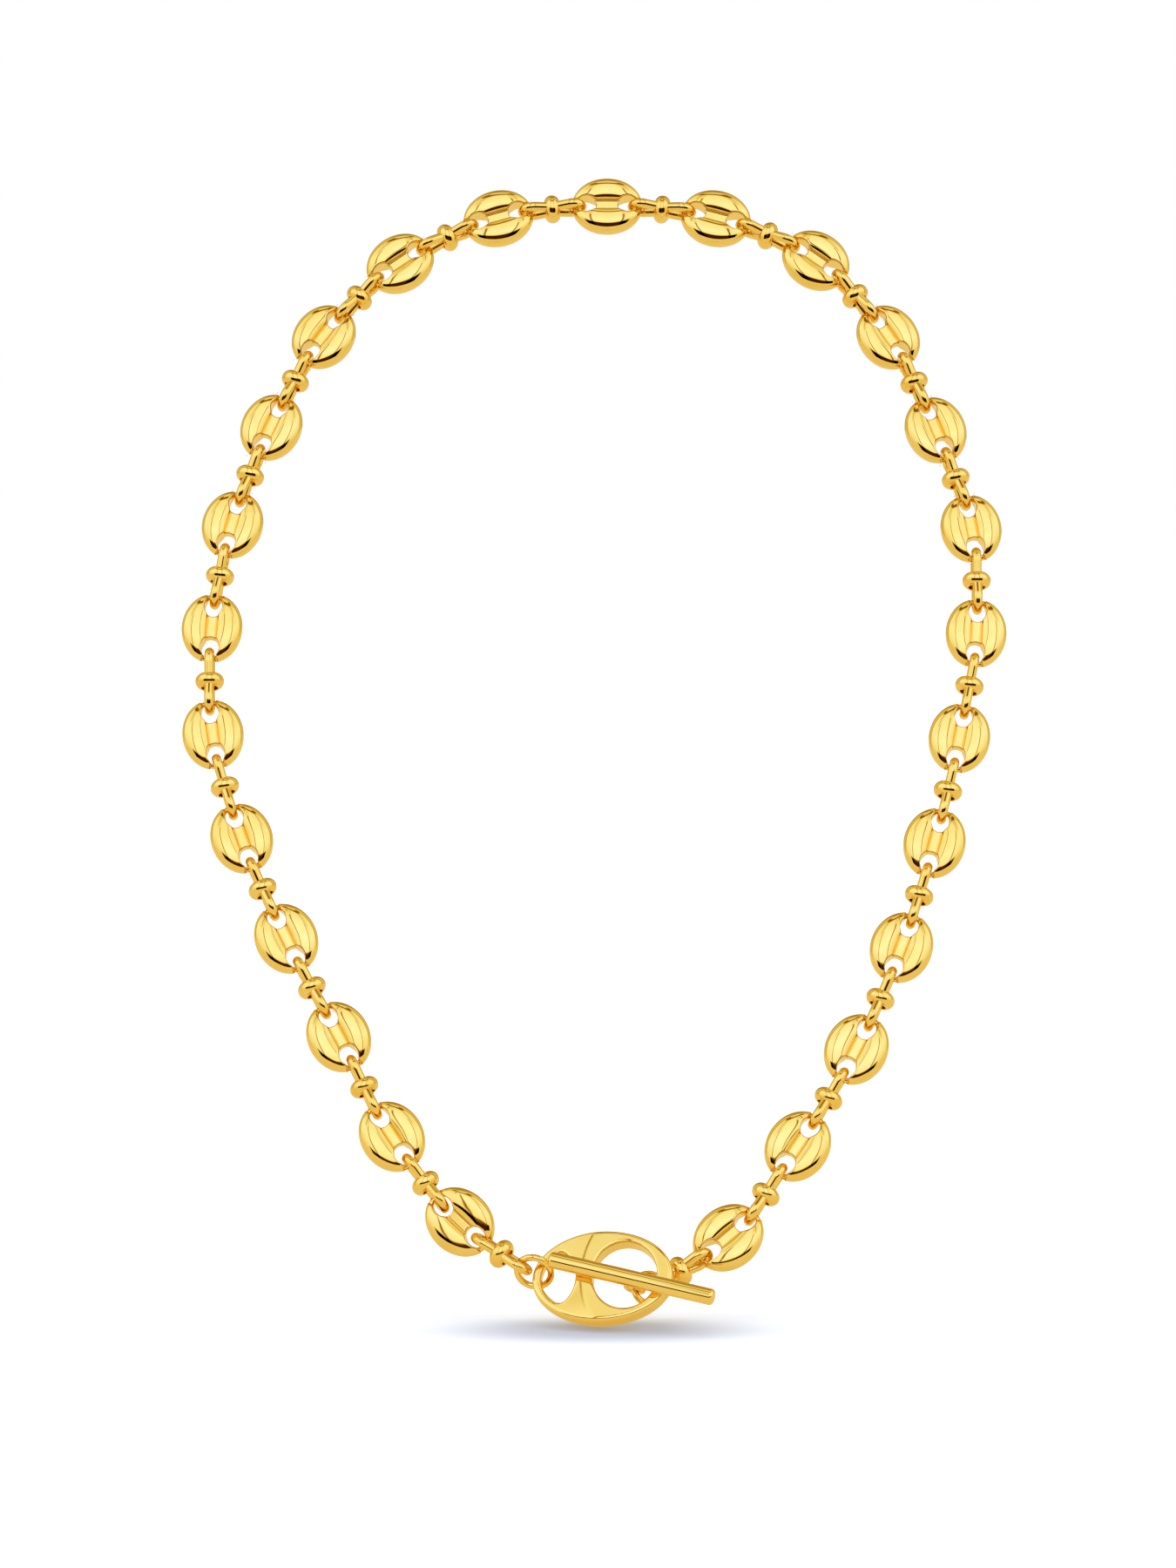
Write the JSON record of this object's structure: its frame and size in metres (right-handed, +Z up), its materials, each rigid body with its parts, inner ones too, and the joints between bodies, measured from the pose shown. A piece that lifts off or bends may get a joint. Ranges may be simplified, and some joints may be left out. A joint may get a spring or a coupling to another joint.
{
  "type": "mariner link chain necklace with toggle clasp",
  "caption": "Gold-coloured necklace of puffed mariner links joined by beaded wire connectors, closed by an oval ring and a round bar, held in the form it hangs in.",
  "frame": {"origin": "middle of the top link, where the necklace hangs on the back of the neck", "axes": "+Z up, -Y the front, +X to the right in the picture; the necklace's plane leans back by 25 degrees"},
  "size_m": [0.1245, 0.0857, 0.1651],
  "materials": {
    "link_gold": "polished",
    "connector_gold": "polished",
    "clasp_gold": "polished"
  },
  "bodies": {
    "root": {"link_top": "link_gold", "link_left_1": "link_gold", "link_left_2": "link_gold", "link_left_3": "link_gold", "link_left_4": "link_gold", "link_left_5": "link_gold", "link_left_6": "link_gold", "link_left_7": "link_gold", "link_left_8": "link_gold", "link_left_9": "link_gold", "link_left_10": "link_gold", "link_left_11": "link_gold", "link_left_12": "link_gold", "link_right_1": "link_gold", "link_right_2": "link_gold", "link_right_3": "link_gold", "link_right_4": "link_gold", "link_right_5": "link_gold", "link_right_6": "link_gold", "link_right_7": "link_gold", "link_right_8": "link_gold", "link_right_9": "link_gold", "link_right_10": "link_gold", "link_right_11": "link_gold", "link_right_12": "link_gold", "connectors_left": "connector_gold", "connectors_right": "connector_gold", "jump_ring": "clasp_gold", "toggle_ring": "clasp_gold", "bar_jump_ring": "clasp_gold", "toggle_bar": "clasp_gold"}
  },
  "joints": []
}
